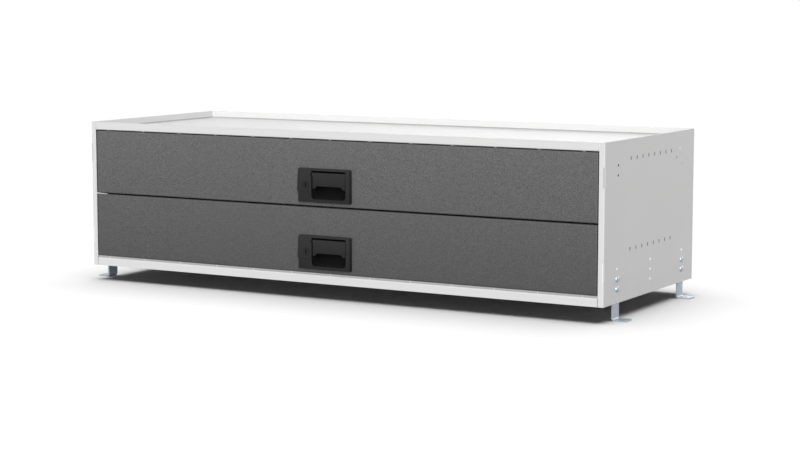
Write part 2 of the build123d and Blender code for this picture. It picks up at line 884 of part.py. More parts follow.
def latch_housing(z_base):
    """The moulded latch: a plate with draft, a raised lock block, the hand pocket and bar guides."""
    centre = ((plate_left + plate_right) / 2, front_y, z_base + (plate_bottom + plate_top) / 2)
    plane = Plane(origin=centre, x_dir=(1, 0, 0), z_dir=(0, -1, 0))
    outline = RectangleRounded(plate_width, plate_height, plate_corner)
    plate = extrude(plane * outline, amount=plate_stand_out, taper=plate_draft)
    y_face = front_y - plate_stand_out
    face_left = plate_left + plate_side_run
    flanks = Polyline(
        (plate_left, front_y),
        (face_left, y_face),
        (plate_right - plate_side_run, y_face),
        (plate_right, front_y),
        close=True,
    )
    plate = plate & along_z(make_face(flanks), z_base + plate_bottom, z_base + plate_top)
    block_top = plate_top - plate_stand_out * tan(radians(plate_draft))
    outline = Polyline(
        (face_left, block_top),
        (face_left - block_flare, block_bottom),
        (pocket_left, block_bottom),
        (pocket_left, block_top),
        close=True,
    )
    raised = Pos(0, 0, z_base) * along_y(make_face(outline), y_face - block_stand_out, front_y)
    corners = raised.edges().filter_by(Axis.Y).sort_by(Axis.X)[:2]
    raised = fillet(corners, block_corner)
    raised = chamfer(raised.edges().group_by(Axis.Y)[0], block_edge)
    y_rear = front_y + pocket_depth + pocket_wall
    walls = pocket_block(pocket_wall, front_y, y_rear, z_base)
    lower_edges = walls.edges().filter_by(Axis.Y).group_by(Axis.Z)[0]
    housing = plate + raised + chamfer(lower_edges, pocket_corner / 2)
    housing -= hand_pocket(y_face - overrun, front_y + pocket_depth, z_base)
    y_wall_back = bar_y + bar_gauge + bar_side_gap
    slot_half = bar_width / 2 + bar_side_gap
    for side in (-1, 1):
        near = bar_x + side * slot_half
        far = near + side * guide_wall
        inward = near - side * guide_lip
        z_low = z_base + guide_bottom
        z_high = z_base + guide_top
        y_end = y_wall_back + guide_wall / 2
        rail = block(min(near, far), max(near, far), y_rear, y_end, z_low, z_high)
        lip = block(min(inward, far), max(inward, far), y_wall_back, y_end, z_low, z_high)
        housing = housing + rail + lip
    housing += block(
        bar_x - spring_seat_width / 2,
        bar_x + spring_seat_width / 2,
        y_rear,
        bar_y + bar_gauge + bar_side_gap,
        z_base + spring_seat - spring_seat_thickness,
        z_base + spring_seat,
    )
    swing_drop = (pocket_depth + pocket_wall - hinge_setback) * tan(radians(paddle_swing))
    arm_half = arm_thickness / 2
    housing -= block(
        bar_x - arm_width / 2 - arm_gap,
        bar_x + arm_width / 2 + arm_gap,
        front_y + pocket_depth - overrun,
        y_rear + overrun,
        z_base + hinge_rise - swing_drop - arm_half / cos(radians(paddle_swing)) - arm_gap,
        z_base + hinge_rise + arm_half + arm_gap,
    )
    housing -= prism_x(
        pocket_left - pocket_wall,
        pocket_right + pocket_wall / 2,
        hinge_y,
        z_base + hinge_rise,
        pin_radius + pin_fit,
    )
    housing -= block(
        pocket_left - hinge_slot_width,
        pocket_left + hinge_slot_width,
        y_face - overrun,
        hinge_y,
        z_base + hinge_rise - hinge_slot_height / 2,
        z_base + hinge_rise + hinge_slot_height / 2,
    )
    lock_z = z_base + lock_rise
    y_block = y_face - block_stand_out
    housing -= prism_y(y_block - overrun, y_rear, lock_x, lock_z, lock_body_radius + lock_fit)
    for x, rise in latch_screw_places():
        housing -= prism_y(front_y - latch_screw_depth, front_y + overrun, x, z_base + rise, screw_radius)
    return housing


def paddle(z_base):
    """The paddle: a flap with a notched lower edge, hinge ears and an arm to the latch bar."""
    y_face = front_y - plate_stand_out + paddle_recess
    notch_top = paddle_bottom + paddle_notch_height
    left_notch = paddle_left + paddle_tab
    right_notch = paddle_right - paddle_tab
    outline = Polyline(
        (paddle_left, paddle_top),
        (paddle_left, paddle_bottom),
        (left_notch, paddle_bottom),
        (left_notch + paddle_notch_run, notch_top),
        (right_notch - paddle_notch_run, notch_top),
        (right_notch, paddle_bottom),
        (paddle_right, paddle_bottom),
        (paddle_right, paddle_top),
        close=True,
    )
    flap = Pos(0, 0, z_base) * along_y(make_face(outline), y_face, y_face + paddle_thickness)
    flap = chamfer(flap.edges().group_by(Axis.Y)[0], paddle_edge)
    z_hinge = z_base + hinge_rise
    for x_low, x_high in (
        (paddle_left, paddle_left + ear_width),
        (paddle_right - ear_width, paddle_right),
        (bar_x - arm_width / 2, bar_x + arm_width / 2),
    ):
        flap += prism_x(x_low, x_high, hinge_y, z_hinge, ear_radius)
        y_in_flap = y_face + paddle_thickness / 2
        flap += block(x_low, x_high, y_in_flap, hinge_y, z_hinge - ear_radius, z_hinge + ear_radius)
    flap += block(
        bar_x - arm_width / 2,
        bar_x + arm_width / 2,
        hinge_y,
        bar_y + bar_gauge,
        z_hinge - arm_thickness / 2,
        z_hinge + arm_thickness / 2,
    )
    bore = prism_x(paddle_left - overrun, paddle_right + overrun, hinge_y, z_hinge, pin_radius + pin_fit)
    return flap - bore


def paddle_pin(z_base):
    z_hinge = z_base + hinge_rise
    x_low = pocket_left - pocket_wall
    return rod_x(x_low, pocket_right + pocket_wall / 2, hinge_y, z_hinge, pin_radius)


def latch_bar(z_base):
    """The bar that the paddle draws down: a bevelled tip, a window for the arm and a lock ear."""
    half = bar_width / 2
    y_back = bar_y + bar_gauge
    bar = block(bar_x - half, bar_x + half, bar_y, y_back, z_base + bar_bottom, z_base + bar_top)
    tip = bar.edges().filter_by(Axis.X).group_by(Axis.Z)[-1].group_by(Axis.Y)[-1]
    bar = chamfer(tip, bar_bevel, bar_gauge * 2 / 3)
    ear_low = lock_rise + lock_cam_width / 2 + bar_travel + lock_ear_gap
    bar += block(
        bar_x - half - lock_ear_length,
        bar_x,
        bar_y,
        y_back,
        z_base + ear_low,
        z_base + ear_low + lock_ear_height,
    )
    lean = arm_thickness / 2 / cos(radians(paddle_swing)) + bar_gauge / 2 * tan(radians(paddle_swing))
    window = block(
        bar_x - arm_width / 2 - arm_gap,
        bar_x + arm_width / 2 + arm_gap,
        bar_y - overrun,
        y_back + overrun,
        z_base + hinge_rise - lean - arm_gap,
        z_base + hinge_rise + arm_thickness / 2 + arm_gap,
    )
    return bar - window


def latch_spring(z_base):
    """The folded leaf spring between its seat on the housing and the end of the bar."""
    half = spring_width / 2
    z_low = z_base + spring_seat
    z_high = z_base + bar_bottom
    outline = [
        (bar_x - half, z_low),
        (bar_x + half, z_low),
        (bar_x - half, z_high - spring_gauge),
        (bar_x + half, z_high - spring_gauge),
    ]
    leaf = folded_section(outline, spring_gauge)
    return along_y(leaf, bar_y, bar_y + bar_gauge)


def lock_cylinder(z_base):
    """The lock's fixed body with its ring, bored for the plug."""
    z = z_base + lock_rise
    y_block = front_y - plate_stand_out - block_stand_out
    body = prism_y(y_block, front_y + lock_body_depth, lock_x, z, lock_body_radius)
    body += prism_y(y_block - lock_ring_height, y_block, lock_x, z, lock_ring_radius, 24)
    y_far = front_y + lock_body_depth + overrun
    return body - prism_y(y_block - overrun, y_far, lock_x, z, lock_plug_radius + lock_plug_fit)


def lock_nut(z_base):
    """The thin nut that holds the lock body against the back of the front sheet."""
    y_seat = front_y + front_sheet
    prism = extrude(RegularPolygon(lock_nut_flats / 2, 6, major_radius=False), amount=lock_nut_height)
    nut = Pos(lock_x, y_seat + lock_nut_height, z_base + lock_rise) * Rot(90, 0, 0) * prism
    return nut - prism_y(y_seat - overrun, y_seat + 2 * overrun, lock_x, z_base + lock_rise, lock_body_radius)


def lock_plug(z_base):
    """The turning plug with its key slot and a square tail for the cam."""
    z = z_base + lock_rise
    y_face = front_y - plate_stand_out - block_stand_out - lock_ring_height / 2
    y_end = front_y + lock_body_depth
    plug = rod_y(y_face, y_end, lock_x, z, lock_plug_radius)
    half = lock_tail_side / 2
    plug += block(lock_x - half, lock_x + half, y_end, cam_y() + lock_cam_gauge, z - half, z + half)
    plug -= block(
        lock_x - lock_key_width / 2,
        lock_x + lock_key_width / 2,
        y_face - overrun,
        y_face + lock_key_depth,
        z - lock_key_height / 2,
        z + lock_key_height / 2,
    )
    return plug


def cam_y():
    return bar_y + (bar_gauge - lock_cam_gauge) / 2


def lock_cam(z_base):
    """The lock's cam, a flat finger that points down when unlocked."""
    z = z_base + lock_rise
    y_low = cam_y()
    y_high = y_low + lock_cam_gauge
    half = lock_cam_width / 2
    finger = prism_y(y_low, y_high, lock_x, z, half)
    finger += block(lock_x - half, lock_x + half, y_low, y_high, z - lock_cam_length, z)
    side = lock_tail_side / 2 + lock_cam_gap / 2
    return finger - block(lock_x - side, lock_x + side, y_low - overrun, y_high + overrun, z - side, z + side)


def save(shape, name):
    export_step(shape, "parts/" + name + ".step")


def save_cabinet():
    panel = side_panel()
    save(panel, "right_side_panel")
    save(mirrored(panel), "left_side_panel")
    save(top_tray(), "top_tray")
    save(base_tray(), "base_tray")
    save(back_panel(), "back_panel")
    save(back_rivets(), "back_rivets")
    save(cross_rail(), "cross_rail")
    save(strikes(), "strikes")
    for end, y in zip(("front", "rear"), foot_places()):
        placed = Pos(0, y, 0) * foot()
        save(placed, end + "_right_foot")
        save(mirrored(placed), end + "_left_foot")
    save(foot_bolts(), "foot_bolts")
    save(runner_packers(), "runner_packers")


def save_runners(level, z_base):
    z = z_base + runner_rise
    for stage, maker in (("outer", outer_member), ("middle", middle_member), ("inner", inner_member)):
        right = maker(z)
        save(right, level + "_right_" + stage + "_runner")
        save(mirrored(right), level + "_left_" + stage + "_runner")
    save(group(pair(outer_cage(z))), level + "_outer_ball_cages")
    save(group(pair(inner_cage(z))), level + "_inner_ball_cages")


def save_drawer(level, z_base):
    pieces = {
        "drawer_front": drawer_front,
        "drawer_tray": drawer_tray,
        "drawer_inner_front": inner_front,
        "drawer_back": drawer_back,
        "drawer_screws": drawer_screws,
        "latch_housing": latch_housing,
        "latch_screws": latch_screws,
        "paddle": paddle,
        "paddle_pin": paddle_pin,
        "latch_bar": latch_bar,
        "latch_spring": latch_spring,
        "lock_cylinder": lock_cylinder,
        "lock_nut": lock_nut,
        "lock_plug": lock_plug,
        "lock_cam": lock_cam,
    }
    for name, maker in pieces.items():
        save(maker(z_base), level + "_" + name)


os.makedirs("parts", exist_ok=True)
save_cabinet()
for level_name, level_z in levels.items():
    save_runners(level_name, level_z)
    save_drawer(level_name, level_z)
print("latch bar travel", round(bar_travel, 3), "mm")
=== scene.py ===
import json
from math import cos, pi, radians, sin

import bmesh
import bpy
from mathutils import Matrix, Vector


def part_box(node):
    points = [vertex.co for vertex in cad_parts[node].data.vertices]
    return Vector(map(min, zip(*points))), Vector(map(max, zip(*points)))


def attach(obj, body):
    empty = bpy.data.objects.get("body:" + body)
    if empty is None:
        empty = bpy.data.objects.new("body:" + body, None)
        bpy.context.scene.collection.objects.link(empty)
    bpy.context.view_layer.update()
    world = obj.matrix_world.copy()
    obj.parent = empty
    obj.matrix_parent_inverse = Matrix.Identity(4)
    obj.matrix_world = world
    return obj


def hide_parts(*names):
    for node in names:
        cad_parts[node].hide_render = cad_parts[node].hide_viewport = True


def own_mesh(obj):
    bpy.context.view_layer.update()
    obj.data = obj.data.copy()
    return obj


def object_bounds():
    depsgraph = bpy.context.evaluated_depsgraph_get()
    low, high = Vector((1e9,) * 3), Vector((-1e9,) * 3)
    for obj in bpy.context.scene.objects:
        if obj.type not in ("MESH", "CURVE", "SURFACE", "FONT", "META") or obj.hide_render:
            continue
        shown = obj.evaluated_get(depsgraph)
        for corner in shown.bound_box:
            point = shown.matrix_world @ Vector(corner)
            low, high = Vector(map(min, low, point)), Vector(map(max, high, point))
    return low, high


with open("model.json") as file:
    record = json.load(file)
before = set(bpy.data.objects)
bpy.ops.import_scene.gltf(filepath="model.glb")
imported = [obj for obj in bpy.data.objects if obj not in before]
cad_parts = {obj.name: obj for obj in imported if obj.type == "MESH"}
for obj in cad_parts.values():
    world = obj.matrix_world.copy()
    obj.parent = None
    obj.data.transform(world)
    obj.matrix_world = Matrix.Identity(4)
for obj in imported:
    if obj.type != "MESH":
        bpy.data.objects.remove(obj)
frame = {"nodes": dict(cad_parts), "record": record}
cad_box = [list(corner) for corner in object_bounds()]
nodes = frame["nodes"]

MM = 0.001

# Places on the cabinet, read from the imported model
panel_low, panel_high = (Vector(corner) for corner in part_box("right_side_panel"))
front_y = panel_low.y
back_y = panel_high.y
middle_y = (front_y + back_y) / 2
base_z = panel_low.z
top_z = panel_high.z
outer_x = panel_high.x
sheet = 1.5 * MM
base_lip = 17.4 * MM
tray_floor_rise = 2.6 * MM

# Holes of the side panels, as in the part
column_inset = 65.0 * MM
row_rise = 28.5 * MM
row_pitch = 20.0 * MM
plug_rows = 3
open_rows = (1, 2)
hole_radius = 2.6 * MM
slot_count = 8
slot_pitch = 30.2 * MM
slot_width = 3.5 * MM
slot_height = 7.2 * MM
lower_slot_rise = 101.5 * MM
upper_slot_drop = 38.7 * MM
tie_hole_radius = 2.0 * MM
tie_holes = ((82.0 * MM, 37.0 * MM), (99.0 * MM, 54.5 * MM))

# Plugs, grommets, and black blanks and linings that paint shade into the slots and holes; a plug's curve is
# in shares of its brim's radius and its dome's height
plug_play = 0.05 * MM
plug_sink = 0.1 * MM
plug_dome = 1.3 * MM
plug_brim = 0.5 * MM
dome_curve = ((0.0, 1.0), (0.45, 0.88), (0.8, 0.55), (1.0, 0.12))
grommet_wall = 0.4 * MM
round_steps = 20

# Foot bolts with round heads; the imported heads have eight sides
packed_head_radius = 7.58 * MM
bolt_head_radius = 6.6 * MM
bolt_head_height = 4.2 * MM
bolt_head_steps = 5
bolt_radius = 3.0 * MM
bolt_reach = 4.5 * MM

# Painted shade: grey strips, one between the nubs under the lower front, which runs on past the last nubs by
# a part of their pitch, and a bead in the corners of the top tray, for the shade in the gap and at the foot
# of the tray's walls
nub_inset = 45.4 * MM
nub_count = 13
shade_strip_gap = 1.6 * MM
shade_strip_thickness = 0.5 * MM
shade_strip_foot = 0.2 * MM
upstand_set_back = 2.3 * MM
bead_size = 2.4 * MM
bead_steps = 5
shade_strip_end_parts = 3

# Painted shade: moulded parts darken, and turn rough, from one depth behind the front face to another
painted_depth_shade_from = 2.5 * MM
painted_depth_shade_to = 9.0 * MM

# The strikes are black steel as painted shade, so that none shows as a light patch in the gap between the
# fronts
painted_shade_nodes = ("strikes",)

# Inlays in the engraved corner slots of the posts, and the finger that keeps the fronts apart
post_slot_height = 40.0 * MM
post_slot_width = 3.6 * MM
post_slot_rise = 69.0 * MM
post_slot_drop = 68.5 * MM
post_slot_sink = 0.8 * MM
inlay_play = 0.1 * MM
finger_reach = 30.0 * MM
finger_tip_share = 0.35
finger_play = 0.3 * MM
finger_set_back = 1.2 * MM

# Leaf springs of the latch bars
spring_gauge = 0.6 * MM
spring_bend = 2.4 * MM
spring_bend_steps = 6

# Camera, solved from the corners of the cabinet
camera_place = Vector((2.1809, -3.75255, 0.6461))
camera_azimuth = radians(29.726)
camera_elevation = radians(6.697)
camera_roll = radians(0.02)
focal_length = 89.63
sensor_width = 36.0

# Lamps: strength as a share of the level at which a colour shows as written. The floor has lamps of its own.
zenith = pi / 2
key_level = 1.05
key_elevation = radians(22)
key_azimuth = radians(27)
key_spread = radians(50)
top_level = 0.2
top_spread = radians(60)
rear_level = 0.65
rear_elevation = radians(10)
left_azimuth = radians(-100)
left_spread = radians(40)
back_azimuth = radians(-178)
back_spread = radians(60)
floor_level = 1.04
floor_fill = 0.012
floor_azimuth = radians(-60)
floor_elevation = radians(89)
floor_spread = radians(76)
sky_level = 0.05
floor_white = 0.93
floor_bounce = 0.22
floor_size = 30.0
floor_roughness = 0.9
floor_cloud_size = 0.4
floor_cloud_shade = 0.995

# Faces that meet at more than this angle keep a sharp edge between them
node_crease = radians(22)
piece_crease = radians(40)
edge_samples = 4

# Parts of a noise's range over which a pattern comes in
wide_band = (0.3, 0.7)
grain_band = (0.35, 0.65)
patch_band = (0.4, 0.75)
dust_band = (0.45, 0.8)

# Powder coat: grain of the cabinet and of the fronts, clouding, and how far the roughness swings
fine_grain = 1.6 * MM
coarse_grain = 2.0 * MM
cloud_size = 0.16
cloud_share = 0.35
cloud_shade = 0.955
coat_rough_swing = 0.05
coat_edge = 0.5 * MM

# Moulded plastic: spark grain, dust, and the painted shade and roughness of its depths
spark_size = 0.5 * MM
spark_depth = 0.04 * MM
spark_strength = 0.6
dust_size = 22 * MM
dust_share = 0.2
dust_tone = 1.3
painted_depth_shade_tone = 0.2
deep_roughness = 0.95
dust_rougher = 0.06
dust_smoother = 0.05
moulding_edge = 0.45 * MM

# Zinc plate: rolling lines, crystals and dull patches
line_size = 1.2 * MM
line_depth = 0.03 * MM
line_strength = 0.5
crystal_tones = (0.93, 1.05)
patch_size = 30 * MM
patch_share = 0.4
patch_tone = 0.82
zinc_smoother = 0.05
zinc_rougher = 0.08
zinc_edge = 0.3 * MM

# Plated hardware: smudges and turning marks
smudge_size = 9 * MM
smudge_tone = 0.86
smudge_smoother = 0.04
smudge_rougher = 0.1
mark_size = 0.4 * MM
mark_depth = 0.01 * MM
mark_strength = 0.5
plated_edge = 0.2 * MM


def link(obj):
    """Puts an object in the scene."""
    bpy.context.scene.collection.objects.link(obj)
    return obj


class Shader:
    """A material's node tree with short calls for its nodes."""

    def __init__(self, name):
        self.material = bpy.data.materials.new(name)
        self.material.use_nodes = True
        self.tree = self.material.node_tree
        self.surface = self.tree.nodes["Principled BSDF"]
        coordinates = self.tree.nodes.new("ShaderNodeTexCoord")
        self.place = coordinates.outputs["Object"]
        self.generated = coordinates.outputs["Generated"]

    def node(self, kind, **settings):
        """A new node with its settings."""
        made = self.tree.nodes.new(kind)
        for key, value in settings.items():
            setattr(made, key, value)
        return made

    def join(self, source, target):
        self.tree.links.new(source, target)

    def fix(self, **values):
        """Sets sockets of the surface that are the same all over."""
        for key, value in values.items():
            self.surface.inputs[key.replace("_", " ")].default_value = value

    def along(self, axis, place=None):
        """One coordinate of a place."""
        split = self.node("ShaderNodeSeparateXYZ")
        self.join(place or self.place, split.inputs["Vector"])
        return split.outputs[axis]

    def stretched(self, scale):
        """The object's own coordinates, scaled along each axis."""
        mapping = self.node("ShaderNodeMapping")
        mapping.inputs["Scale"].default_value = scale
        self.join(self.place, mapping.inputs["Vector"])
        return mapping.outputs["Vector"]

    def noise(self, size, detail=2.0, roughness=0.5, place=None):
        """Noise whose features are about size metres across."""
        noise = self.node("ShaderNodeTexNoise")
        noise.inputs["Scale"].default_value = 1 / size
        noise.inputs["Detail"].default_value = detail
        noise.inputs["Roughness"].default_value = roughness
        self.join(place or self.place, noise.inputs["Vector"])
        return noise.outputs["Fac"]

    def spread(self, value, low, high, to_low=0.0, to_high=1.0):
        """A value carried from one range to another and held within it."""
        span = self.node("ShaderNodeMapRange")
        for key, number in (("From Min", low), ("From Max", high), ("To Min", to_low), ("To Max", to_high)):
            span.inputs[key].default_value = number
        self.join(value, span.inputs["Value"])
        return span.outputs["Result"]

    def mix(self, factor, first, second, blend="MIX"):
        """Two colours blended by a factor; each of the three is a value or a socket."""
        mixed = self.node("ShaderNodeMix", data_type="RGBA", blend_type=blend)
        for socket, value in (("Factor", factor), ("A", first), ("B", second)):
            slot = next(s for s in mixed.inputs if s.name == socket and s.enabled)
            if isinstance(value, bpy.types.NodeSocket):
                self.join(value, slot)
            elif socket == "Factor":
                slot.default_value = value
            else:
                slot.default_value = (*value, 1.0)
        return next(s for s in mixed.outputs if s.enabled)

    def bump(self, height, distance, strength=1.0, normal=None):
        """A normal tilted by a height pattern of a real depth."""
        bump = self.node("ShaderNodeBump")
        bump.inputs["Distance"].default_value = distance
        bump.inputs["Strength"].default_value = strength
        self.join(height, bump.inputs["Height"])
        if normal is not None:
            self.join(normal, bump.inputs["Normal"])
        return bump.outputs["Normal"]

    def grey(self, value):
        """A grey colour from a value."""
        combined = self.node("ShaderNodeCombineColor")
        for channel in ("Red", "Green", "Blue"):
            self.join(value, combined.inputs[channel])
        return combined.outputs["Color"]

    def soft_edges(self, radius):
        """A normal that rounds the edges by a radius."""
        bevel = self.node("ShaderNodeBevel", samples=edge_samples)
        bevel.inputs["Radius"].default_value = radius
        return bevel.outputs["Normal"]

    def finish(self, colour=None, roughness=None, normal=None):
        """Joins what varies to the surface and gives the material."""
        for value, socket in ((colour, "Base Color"), (roughness, "Roughness"), (normal, "Normal")):
            if value is not None:
                self.join(value, self.surface.inputs[socket])
        return self.material


def shade(colour, share):
    """A colour times a share."""
    return tuple(channel * share for channel in colour)


def powder_coat(name, colour, grain, contrast, depth, roughness, painted_light_rise=0.0, specular=0.5):
    """A baked powder coat: a pebbled skin over faint clouding, rougher in its hollows, with painted light
    that makes it paler with height.
    """
    coat = Shader(name)
    coat.fix(Metallic=0.0, Specular_IOR_Level=specular)
    pebbles = coat.noise(grain, detail=2.0, roughness=0.6)
    clouds = coat.noise(cloud_size, detail=3.0)
    pebbled = coat.spread(pebbles, *grain_band)
    fine = coat.mix(pebbled, shade(colour, 1 - contrast), shade(colour, 1 + contrast))
    clouded = coat.spread(clouds, *wide_band, 0.0, cloud_share)
    tint = coat.mix(clouded, fine, shade(colour, cloud_shade))
    # Painted light: darker at the bottom of the model and paler at its top, as light falls from above
    if painted_light_rise:
        height = coat.spread(coat.along("Z"), cad_box[0][2], cad_box[1][2])
        painted_light_tones = coat.mix(height, (1 - painted_light_rise,) * 3, (1 + painted_light_rise,) * 3)
        tint = coat.mix(1.0, tint, painted_light_tones, "MULTIPLY")
    rough = coat.spread(pebbles, *wide_band, roughness + coat_rough_swing, roughness - coat_rough_swing)
    edges = coat.soft_edges(coat_edge)
    return coat.finish(tint, rough, coat.bump(pebbles, depth, 1.0, edges))


def moulded_plastic(name, colour, roughness, specular, fade=(1.0, 1.0), painted_depth_shade=0.0):
    """Moulded plastic with a spark grain and a trace of dust, with painted light that makes it lighter
    towards its top and painted shade that darkens it in its depths.
    """
    plastic = Shader(name)
    plastic.fix(Metallic=0.0, Specular_IOR_Level=specular)
    grain = plastic.noise(spark_size, detail=1.0)
    wear = plastic.noise(dust_size, detail=4.0, roughness=0.65)
    # Painted light: the tone runs from one share at the bottom of the piece to another at its top
    height = plastic.along("Z", plastic.generated)
    painted_light_tint = plastic.mix(height, shade(colour, fade[0]), shade(colour, fade[1]))
    dusty = plastic.spread(wear, *dust_band, 0.0, dust_share)
    tint = plastic.mix(dusty, painted_light_tint, shade(colour, dust_tone))
    # Painted shade: the colour darkens with depth behind the front face
    depth = plastic.spread(plastic.along("Y"), front_y + painted_depth_shade_from, front_y + painted_depth_shade_to, 0.0, painted_depth_shade)
    tint = plastic.mix(depth, tint, shade(colour, painted_depth_shade_tone))
    worn = plastic.spread(wear, *wide_band, roughness + dust_rougher, roughness - dust_smoother)
    rough = plastic.mix(depth, plastic.grey(worn), (deep_roughness,) * 3)
    edges = plastic.soft_edges(moulding_edge)
    return plastic.finish(tint, rough, plastic.bump(grain, spark_depth, spark_strength, edges))


def zinc_plate(name, colour, roughness, along=(1, 1, 1), crystal=5 * MM, metallic=1.0):
    """Bright zinc plate: rolling lines, faint crystals and dull patches."""
    zinc = Shader(name)
    zinc.fix(Metallic=metallic)
    lines = zinc.noise(line_size, detail=3.0, place=zinc.stretched(along))
    crystals = zinc.node("ShaderNodeTexVoronoi", feature="F1")
    crystals.inputs["Scale"].default_value = 1 / crystal
    zinc.join(zinc.place, crystals.inputs["Vector"])
    patches = zinc.noise(patch_size, detail=4.0, roughness=0.6)
    facets = zinc.node("ShaderNodeSeparateColor")
    zinc.join(crystals.outputs["Color"], facets.inputs["Color"])
    dark, light = (shade(colour, tone) for tone in crystal_tones)
    tint = zinc.mix(zinc.spread(facets.outputs["Red"], 0, 1), dark, light)
    dulled = zinc.spread(patches, *patch_band, 0.0, patch_share)
    tint = zinc.mix(dulled, tint, shade(colour, patch_tone))
    rough = zinc.spread(patches, *wide_band, roughness - zinc_smoother, roughness + zinc_rougher)
    edges = zinc.soft_edges(zinc_edge)
    return zinc.finish(tint, rough, zinc.bump(lines, line_depth, line_strength, edges))


def polished_metal(name, colour, roughness):
    """Plated hardware with fine turning marks and smudges."""
    metal = Shader(name)
    metal.fix(Metallic=1.0)
    smudges = metal.noise(smudge_size, detail=5.0, roughness=0.7)
    marks = metal.noise(mark_size, detail=2.0)
    tint = metal.mix(metal.spread(smudges, *patch_band), colour, shade(colour, smudge_tone))
    rough = metal.spread(smudges, *wide_band, roughness - smudge_smoother, roughness + smudge_rougher)
    edges = metal.soft_edges(plated_edge)
    return metal.finish(tint, rough, metal.bump(marks, mark_depth, mark_strength, edges))


def make_materials():
    """Every material by its name: the record's slots, and those of the pieces that are made here."""
    latch_black = (0.009, 0.009, 0.0093)
    # The latches carry painted light towards their tops and painted shade in their wells
    latch_look = {"specular": 0.25, "fade": (0.3, 1.8), "painted_depth_shade": 1.0}
    makers = {
        "white_coat": (powder_coat, {
            "colour": (0.738, 0.738, 0.735), "grain": fine_grain, "contrast": 0.012, "depth": 0.01 * MM,
            "roughness": 0.54, "specular": 0.2}),
        # The fronts carry painted light, paler at the top than at the bottom
        "grey_coat": (powder_coat, {
            "colour": (0.079, 0.079, 0.079), "grain": coarse_grain, "contrast": 0.5, "depth": 0.2 * MM,
            "roughness": 0.5, "painted_light_rise": 0.38}),
        "drawer_coat": (powder_coat, {
            "colour": (0.6, 0.6, 0.6), "grain": fine_grain, "contrast": 0.015, "depth": 0.03 * MM,
            "roughness": 0.45}),
        "zinc_strap": (zinc_plate, {
            "colour": (0.41, 0.45, 0.49), "roughness": 0.48, "along": (1, 1, 0.06), "metallic": 0.5}),
        "zinc_fasteners": (zinc_plate, {
            "colour": (0.38, 0.44, 0.51), "roughness": 0.2, "crystal": 2 * MM, "metallic": 0.6}),
        "runner_steel": (zinc_plate, {
            "colour": (0.55, 0.56, 0.58), "roughness": 0.32, "along": (1, 0.04, 1)}),
        "cage_steel": (zinc_plate, {
            "colour": (0.36, 0.36, 0.37), "roughness": 0.38, "along": (1, 0.04, 1)}),
        "latch_moulding": (moulded_plastic, {"colour": latch_black, "roughness": 0.5, **latch_look}),
        "paddle_moulding": (moulded_plastic, {"colour": latch_black, "roughness": 0.46, **latch_look}),
        "latch_steel": (zinc_plate, {
            "colour": (0.5, 0.52, 0.54), "roughness": 0.34, "along": (1, 1, 0.05)}),
        "lock_black": (polished_metal, {"colour": (0.03, 0.03, 0.032), "roughness": 0.35}),
        "black_steel": (zinc_plate, {
            "colour": (0.06, 0.06, 0.062), "roughness": 0.5, "along": (1, 1, 0.05)}),
        "black_rubber": (moulded_plastic, {
            "colour": (0.008, 0.008, 0.008), "roughness": 0.8, "specular": 0.1}),
        "grey_inlay": (powder_coat, {
            "colour": (0.56, 0.56, 0.558), "grain": fine_grain, "contrast": 0.02, "depth": 0.01 * MM,
            "roughness": 0.6}),
        "grey_sealant": (moulded_plastic, {
            "colour": (0.42, 0.42, 0.42), "roughness": 0.7, "specular": 0.2}),
        "white_nylon": (moulded_plastic, {
            "colour": (0.9, 0.9, 0.9), "roughness": 0.35, "specular": 0.5}),
    }
    return {name: make(name, **look) for name, (make, look) in makers.items()}


def dress_nodes(materials):
    """Gives every carried-over node its material and smooth shading on its curved faces."""
    for part in frame["record"]["subparts"]:
        obj = nodes[part["node"]]
        obj.data.materials.clear()
        # The strikes take black steel as painted shade
        slot = "black_steel" if part["node"] in painted_shade_nodes else part["material_slot"]
        obj.data.materials.append(materials[slot])
        for polygon in obj.data.polygons:
            polygon.use_smooth = True
        obj.data.set_sharp_from_angle(angle=node_crease)


def add_piece(name, shape, material, body="cabinet"):
    """A piece from a bmesh that rides on a body."""
    mesh = bpy.data.meshes.new(name)
    bmesh.ops.recalc_face_normals(shape, faces=shape.faces)
    shape.to_mesh(mesh)
    shape.free()
    piece = link(bpy.data.objects.new(name, mesh))
    mesh.materials.append(material)
    for polygon in mesh.polygons:
        polygon.use_smooth = True
    mesh.set_sharp_from_angle(angle=piece_crease)
    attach(piece, body)
    return piece


def add_turned(shape, profile, side, y, z):
    """Adds a body turned about an axis along X, from (radius, height over the panel's outer face) points."""
    rings = []
    for radius, height in profile:
        x = side * (outer_x + height)
        if radius == 0:
            rings.append([shape.verts.new((x, y, z))])
            continue
        turns = [2 * pi * step / round_steps for step in range(round_steps)]
        rings.append([shape.verts.new((x, y + radius * cos(turn), z + radius * sin(turn))) for turn in turns])
    for near, far in zip(rings, rings[1:] + rings[:1]):
        for step in range(round_steps):
            following = (step + 1) % round_steps
            corners = []
            for ring, index in ((near, step), (near, following), (far, following), (far, step)):
                corner = ring[index % len(ring)]
                if corner not in corners:
                    corners.append(corner)
            if len(corners) > 2:
                shape.faces.new(corners)


def dome_profile(radius):
    """A push-in plug: a low dome with a brim on the face of the panel and a stem through its hole."""
    brim = radius + plug_brim
    stem = radius - plug_play
    dome = tuple((out * brim, up * plug_dome) for out, up in dome_curve)
    return dome + ((brim, 0.0), (stem, 0.0), (stem, -sheet), (0.0, -sheet))


def grommet_profile(radius):
    """A ring that lines a hole."""
    outer = radius - plug_play
    inner = outer - grommet_wall
    return ((inner, -plug_sink), (outer, 0.0), (outer, -sheet), (inner, -sheet))


def shade_disc_profile(radius):
    """A flush black disc in a hole, as painted shade."""
    outer = radius - plug_play
    return ((0.0, -plug_sink), (outer, -plug_sink), (outer, -sheet), (0.0, -sheet))


